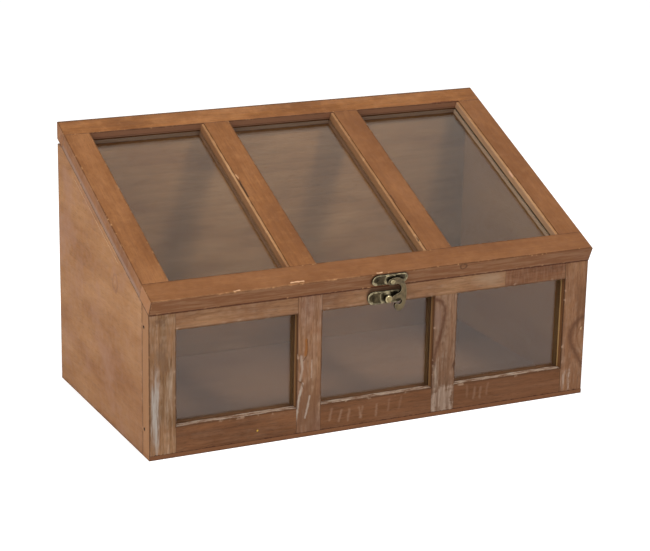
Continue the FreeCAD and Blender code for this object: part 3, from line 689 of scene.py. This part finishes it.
lid_pieces = (("lid_front_rail", cross_slope, 13.0, 0.55, mark_lid_front_rail),
              ("lid_back_rail", cross_slope, 14.0, 0.0, mark_lid_back_rail),
              ("lid_left_stile", up_slope, 15.0, 0.32, mark_lid_left_stile),
              ("lid_right_stile", up_slope, 16.0, 0.5, mark_lid_right_stile),
              ("lid_left_muntin", up_slope, 17.0, 0.28, mark_lid_left_muntin),
              ("lid_right_muntin", up_slope, 18.0, 0.52, mark_lid_right_muntin))
for piece, turn, seed, deeper, mark in lid_pieces:
    bar = timber("stained fir " + piece.replace("_", " "), piece, turn, seed, lid_tones,
                 ring_gap=5.0, ring_depth=0.05, fibre_depth=0.15, pore_depth=0.24)
    mottle = noise(bar.tree, bar.there, 0.11, 5.0, 0.7)
    lay(bar, span(bar, mottle, 0.5, 0.7), "#76461F", 0.4)
    lay(bar, span(bar, mottle, 0.48, 0.3), "#B27C4A", 0.3)
    bar.colour = mixed(bar.tree, deeper, bar.colour, linear("#6E4528"))
    mark(bar)
    edge_stain(bar, 1.1, "#43240F", 0.85)
    edge_wear(bar, 1.6, "#CC9A68", 0.6)
    dress(piece, finish_timber(bar, roughness=0.58), eased=0.3)

# Glazing beads
# Thin strips pinned over the right edge of each lid pane, paler than the frame. Each has a
# painted shadow where it meets the glass and in the gap along its right edge.
for piece, seed, side_tone, glass_shadow_depth in (("lid_left_bead", 20.0, "#8A6041", 0.25),
                                          ("lid_centre_bead", 21.0, "#946B4A", 0.25),
                                          ("lid_right_bead", 22.0, "#B48E6E", 0.95)):
    bead = timber("pale fir " + piece.replace("_", " "), piece, up_slope, seed,
                  ("#8A5E3C", "#9C7048", "#AE845C"), ring_gap=3.0, ring_depth=0.06, fibre_depth=0.16)
    lay(bead, outer_face(bead, to_left, skin=0.3), side_tone, 0.7)
    # Painted shadow at the foot of the bead, where it meets the glass.
    lay(bead, span(bead, bead.split[2], -1.6, -2.4), "#160C07", glass_shadow_depth)
    edge_wear(bead, 1.2, "#D0A880", 0.5)
    # Painted shadow in the gap along the bead's right edge.
    right_gap_shadow = span(bead, bead.split[1], -bead.half[1] + 0.5, -bead.half[1] + 0.2)
    lay(bead, times(bead, right_gap_shadow, span(bead, bead.uneven, 0.38, 0.54)), "#3E2614", 0.9)
    if piece == "lid_centre_bead":
        lay(bead, stroke(bead, [(46.9, -69.2, 140.8), (46.4, -73.0, 139.1)], 0.9), "#24140B", 0.85)
        lay(bead, stroke(bead, [(47.7, -50.5, 149.0), (47.7, -54.5, 147.2)], 0.6), "#24140B", 0.85)
    if piece == "lid_right_bead":
        lay(bead, stroke(bead, [(167.2, -6.8, 168.4), (166.6, -12.9, 165.7)], 1.2), "#CE9C80", 0.75)
    dress(piece, finish_timber(bead, roughness=0.6))

# Panes
# Clear 2 mm sheet glass in grooves. It mirrors the white room, so the inside looks grey and hazy.
# Light passes straight through it, so the inside is lit.
glass_tint = linear("#F4F5F2")
for side, sheen in (("front", "#E6DCD8"), ("lid", "#C9BBA8")):
    glass, tree = new_material("clear sheet glass " + side)
    clear = add(tree, "BsdfPrincipled", {"Base Color": glass_tint, "Roughness": 0.0,
                                         "Transmission Weight": 1.0, "IOR": 1.45,
                                         "Specular Tint": linear(sheen)})
    passing = add(tree, "BsdfTransparent", {"Color": glass_tint})
    ray = add(tree, "LightPath").outputs
    light_ray = calc(tree, "MAXIMUM", ray["Is Shadow Ray"], ray["Is Diffuse Ray"])
    both = add(tree, "MixShader", {0: light_ray, 1: clear.outputs[0], 2: passing.outputs[0]})
    add(tree, "OutputMaterial", {"Surface": both.outputs[0]})
    for place in ("left", "centre", "right"):
        dress(side + "_" + place + "_pane", glass)

# Latch
# Pressed plates, a cast swing hook, stud and rivet, plated in antique brass. Tarnish darkens the
# dished ground in patches. The sides are painted dark as shade and the rounded edges painted bright
# as highlight, and the rims are paler where handling rubs them, partly as painted highlight.
lid_front = Vector((0.0, -math.cos(slope), -math.sin(slope)))
lid_front_level = lid_front.dot(Vector((0.0, front_face, lid_level)))
rim_height = 1.4


def plated(name, dark, ground, bright, fronts, rim_level=None, roughness=0.34):
    """Plated metal. fronts are the ways that its flat faces look, and rim_level is how far its
    rims lie along the first of them, in mm. Faces turned away from the fronts are painted dark as
    shade, the rounded edges between are painted bright as highlight, and the rims are paler in
    patches, partly from wear and partly as painted highlight."""
    material, tree = new_material(name)
    where = add(tree, "TexCoord").outputs
    there = scaled(tree, where["Object"], 1000.0)
    facing = None
    for front in fronts:
        turned = vector(tree, "DOT_PRODUCT", where["Normal"], front)
        facing = turned if facing is None else calc(tree, "MAXIMUM", facing, turned)
    patches = noise(tree, there, 0.3)
    # Painted shade on the faces turned away from the fronts, painted highlight on the rounded edges
    # between.
    tint = add(tree, "ValToRGB", {"Fac": facing},
               stops=[(0.15, dark), (0.55, dark), (0.74, bright), (0.88, bright),
                      (0.985, ground)]).outputs[0]
    tint = mixed(tree, ranged(tree, patches, 0.42, 0.7, 0.0, 0.5), tint, linear(dark))
    if rim_level is not None:
        level = vector(tree, "DOT_PRODUCT", there, fronts[0])
        rim = ranged(tree, level, rim_level - 0.25, rim_level)
        # The rims are paler in patches: partly wear, partly painted highlight.
        rubbed = ranged(tree, patches, 0.58, 0.4, 0.2, 0.85)
        tint = mixed(tree, calc(tree, "MULTIPLY", rim, rubbed), tint, linear(bright))
    rough = ranged(tree, patches, 0.3, 0.7, roughness - 0.06, roughness + 0.16)
    shader = add(tree, "BsdfPrincipled", {"Base Color": tint, "Metallic": 1.0, "Roughness": rough})
    add(tree, "OutputMaterial", {"Surface": shader.outputs[0]})
    return material


def put(name, data):
    """Put a new object in the scene."""
    made = bpy.data.objects.new(name, data)
    bpy.context.scene.collection.objects.link(made)
    return made


def place_piece(name, shape, material, body, node):
    """Turn a bmesh into a finished piece that rides on a body and stands for a node."""
    mesh = bpy.data.meshes.new(name)
    shape.to_mesh(mesh)
    shape.free()
    mesh.polygons.foreach_set("use_smooth", [True] * len(mesh.polygons))
    mesh.set_sharp_from_angle(angle=math.radians(38.0))
    mesh.materials.append(material)
    made = put(name, mesh)
    flat = made.modifiers.new("flat faces kept flat", "WEIGHTED_NORMAL")
    flat.keep_sharp = True
    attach(made, body)
    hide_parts(node)


def softened(node, name, material, body, width, segments=2):
    """The frame's own shape with its outer corners rounded, as casting or pressing leaves them;
    width is the rounding in metres."""
    shape = bmesh.new()
    shape.from_mesh(nodes[node].data)
    bmesh.ops.remove_doubles(shape, verts=shape.verts, dist=1e-6)
    bmesh.ops.dissolve_limit(shape, angle_limit=math.radians(0.8), verts=shape.verts,
                             edges=shape.edges)
    shape.normal_update()
    corners = [e for e in shape.edges
               if len(e.link_faces) == 2 and e.calc_face_angle_signed() > math.radians(40.0)]
    bmesh.ops.bevel(shape, geom=corners, offset=width, segments=segments, profile=0.5,
                    affect="EDGES", clamp_overlap=False, material=-1)
    bmesh.ops.dissolve_degenerate(shape, dist=1e-7, edges=shape.edges)
    bmesh.ops.triangulate(shape, faces=[f for f in shape.faces if len(f.verts) > 4])
    place_piece(name, shape, material, body, node)


brass_dark, brass_bright = "#1C150E", "#A69979"
catch_finish = plated("antique brass catch plate", brass_dark, "#4C4230", brass_bright,
                      [to_front], rim_level=rim_height - front_face)
lid_plate_finish = plated("antique brass lid plate", brass_dark, "#453B2B", brass_bright,
                          [lid_front], rim_level=rim_height + lid_front_level)
hook_finish = plated("antique brass hook", brass_dark, "#61543F", "#A69878",
                     [to_front, lid_front])
knob_finish = plated("rubbed and highlit brass knob", "#2C2214", "#857655", "#AB9D7A", [to_front])
softened("catch_plate", "catch_plate_pressed", catch_finish, "box", 0.00022)
softened("latch_plate", "lid_plate_pressed", lid_plate_finish, "lid", 0.00022)
softened("latch_hook", "swing_hook_cast", hook_finish, "hook", 0.0003, 3)
softened("catch_stud", "catch_knob", knob_finish, "box", 0.0004, 3)
softened("latch_rivet", "hook_rivet", knob_finish, "lid", 0.0002, 3)


def one_by_one(node):
    """The points of each separate screw in a node, row by row from the left."""
    row_height = 0.009
    apart = 0.008
    screws = []
    for v in sorted(nodes[node].data.vertices, key=lambda v: (round(v.co.z, 3) // row_height, v.co.x)):
        near = [points for points in screws if (points[0] - v.co).length < apart]
        if near:
            near[0].append(v.co.copy())
        else:
            screws.append([v.co.copy()])
    return screws


def cross_head(head, shank, length):
    """A countersunk screw along -Z with a cross recess, its head's top at the origin. The radii
    of head and shank and the length are in metres."""
    one = bmesh.new()
    cone = head - shank
    bmesh.ops.create_cone(one, cap_ends=True, segments=32, radius1=shank, radius2=head, depth=cone,
                          matrix=Matrix.Translation((0.0, 0.0, -cone / 2.0)))
    half, arm = head * 0.12, head * 0.62
    for axis in ((1.0, 0.0, 0.0), (0.0, 1.0, 0.0)):
        for offset in (-arm, -half, half, arm):
            bmesh.ops.bisect_plane(one, geom=one.verts[:] + one.edges[:] + one.faces[:],
                                   plane_co=Vector(axis) * offset, plane_no=axis)
    one.normal_update()
    recess = []
    for f in one.faces:
        off_x, off_y, _ = (abs(c) for c in f.calc_center_median())
        in_cross = (off_x < half and off_y < arm) or (off_y < half and off_x < arm)
        if f.normal.z > 0.9 and in_cross:
            recess.append(f)
    deeper = bmesh.ops.extrude_face_region(one, geom=recess)["geom"]
    bmesh.ops.delete(one, geom=[f for f in recess if f.is_valid], context="FACES_ONLY")
    bmesh.ops.translate(one, vec=(0.0, 0.0, -head * 0.3),
                        verts=[g for g in deeper if isinstance(g, bmesh.types.BMVert)])
    bmesh.ops.create_cone(one, cap_ends=True, segments=16, radius1=shank * 0.3, radius2=shank,
                          depth=length - cone,
                          matrix=Matrix.Translation((0.0, 0.0, -(length + cone) / 2.0)))
    return one


def cross_head_screws(node, name, material, body, out, head, shank, length):
    """Screws with a cross recess, each where the frame has one, heads towards out."""
    whole = bmesh.new()
    turn = out.to_track_quat("Z", "Y").to_matrix().to_4x4()
    for points in one_by_one(node):
        level = max(p.dot(out) for p in points)
        face = [p for p in points if p.dot(out) > level - 0.00002]
        centre = sum(face, Vector()) / len(face)
        one = cross_head(head, shank, length)
        bmesh.ops.transform(one, matrix=Matrix.Translation(centre) @ turn, verts=one.verts)
        mesh = bpy.data.meshes.new("screw")
        one.to_mesh(mesh)
        one.free()
        whole.from_mesh(mesh)
        bpy.data.meshes.remove(mesh)
    place_piece(name, whole, material, body, node)


# The recess walls and sides of the screws are painted near black as shade, their rounded edges bright as
# highlight.
screw_finish = plated("tarnished and shaded brass screws", "#0E0A06", "#3F3627", "#8F8160",
                      [to_front, lid_front])
cross_head_screws("catch_screws", "catch_plate_screws", screw_finish, "box",
                  to_front, head=0.0025, shank=0.0011, length=0.007)
cross_head_screws("latch_screws", "lid_plate_screws", screw_finish, "lid",
                  lid_front, head=0.0025, shank=0.0011, length=0.007)

# Hinges
# Small butt hinges of folded brass on the back, lightly tarnished. Two screws hold each leaf,
# and a pin runs through the knuckles of both.
to_back = Vector((0.0, 1.0, 0.0))
# As on the latch, the hinges' sides are painted dark as shade and their rounded edges bright as
# highlight.
hinge_finish = plated("lacquered brass", "#6E5630", "#9A7F4C", "#BFA572", [to_back], roughness=0.3)
hinge_screw_finish = plated("lacquered brass screws", "#3A2C14", "#B0935A", "#CDB27A", [to_back])
for side in ("left", "right"):
    softened(side + "_hinge_box_leaf", side + "_hinge_lower_leaf", hinge_finish, "box",
             0.0002)
    softened(side + "_hinge_lid_leaf", side + "_hinge_upper_leaf", hinge_finish, "lid",
             0.0002)
    dress(side + "_hinge_pin", hinge_finish)
cross_head_screws("hinge_box_screws", "hinge_lower_screws", hinge_screw_finish, "box",
                  to_back, head=0.0018, shank=0.0009, length=0.007)
cross_head_screws("hinge_lid_screws", "hinge_upper_screws", hinge_screw_finish, "lid",
                  to_back, head=0.0018, shank=0.0009, length=0.007)

# Floor and room
# A plain white floor that keeps the object's shadow, in an even white room. Both are brighter
# where they are looked at, mirrored or seen through glass than in the light that they give.
white = (1.0, 1.0, 1.0, 1.0)


def looked_at(tree):
    """1 where the camera sees a thing, also mirrored or through glass, and 0 for other light."""
    ray = add(tree, "LightPath").outputs
    seen = calc(tree, "MAXIMUM", ray["Is Camera Ray"], ray["Is Glossy Ray"])
    return calc(tree, "MAXIMUM", seen, ray["Is Transmission Ray"])


mesh = bpy.data.meshes.new("studio_floor")
shape = bmesh.new()
bmesh.ops.create_grid(shape, x_segments=1, y_segments=1, size=4.0)
shape.to_mesh(mesh)
shape.free()
floor_paint, tree = new_material("white studio floor")
paint = add(tree, "BsdfDiffuse", {"Color": linear("#EDEDED")})
glow = add(tree, "Emission", {"Color": white,
                              "Strength": calc(tree, "MULTIPLY", looked_at(tree), 0.55)})
both = add(tree, "AddShader", {0: paint.outputs[0], 1: glow.outputs[0]})
add(tree, "OutputMaterial", {"Surface": both.outputs[0]})
mesh.materials.append(floor_paint)
floor = put("studio_floor", mesh)

world = bpy.data.worlds.new("white room")
bpy.context.scene.world = world
world.use_nodes = True
tree = world.node_tree
tree.nodes.clear()
level = ranged(tree, looked_at(tree), 0.0, 1.0, 0.37, 1.0)
walls = add(tree, "Background", {"Color": white, "Strength": level})
add(tree, "OutputWorld", {"Surface": walls.outputs[0]})


def lamp(name, place, size, watts):
    """A soft square lamp aimed at the middle of the object."""
    light = bpy.data.lights.new(name, "AREA")
    light.shape = "SQUARE"
    light.size = size
    light.energy = watts
    made = put(name, light)
    made.location = place
    aim = Vector((0.0, 0.0, 0.1)) - Vector(place)
    made.rotation_euler = aim.to_track_quat("-Z", "Y").to_euler()


lamp("left_softbox", (-1.7, -0.75, 1.3), size=2.0, watts=32.0)
lamp("top_softbox", (0.62, -0.95, 2.0), size=0.5, watts=26.0)

# Camera
# Long lens to the left of the front and a little above, tipped by about a degree. Its place
# was fitted to the corners of the object in the photograph.
azimuth = math.radians(-26.22)
elevation = math.radians(17.0)
roll = math.radians(1.15)
standpoint = (-0.7001, -1.4237, 0.5804)
back = Vector((math.sin(azimuth) * math.cos(elevation), -math.cos(azimuth) * math.cos(elevation),
               math.sin(elevation)))
right = Vector((math.cos(azimuth), math.sin(azimuth), 0.0))
up = back.cross(right)
tipped_right = right * math.cos(roll) + up * math.sin(roll)
tipped_up = up * math.cos(roll) - right * math.sin(roll)
lens = bpy.data.cameras.new("camera")
lens.sensor_width = 36.0
lens.lens = 113.04
lens.clip_start = 0.05
lens.clip_end = 50.0
camera = put("camera", lens)
turned = Matrix((tipped_right, tipped_up, back)).transposed()
camera.matrix_world = Matrix.Translation(standpoint) @ turned.to_4x4()
bpy.context.scene.camera = camera
bpy.context.scene.view_settings.view_transform = "Standard"
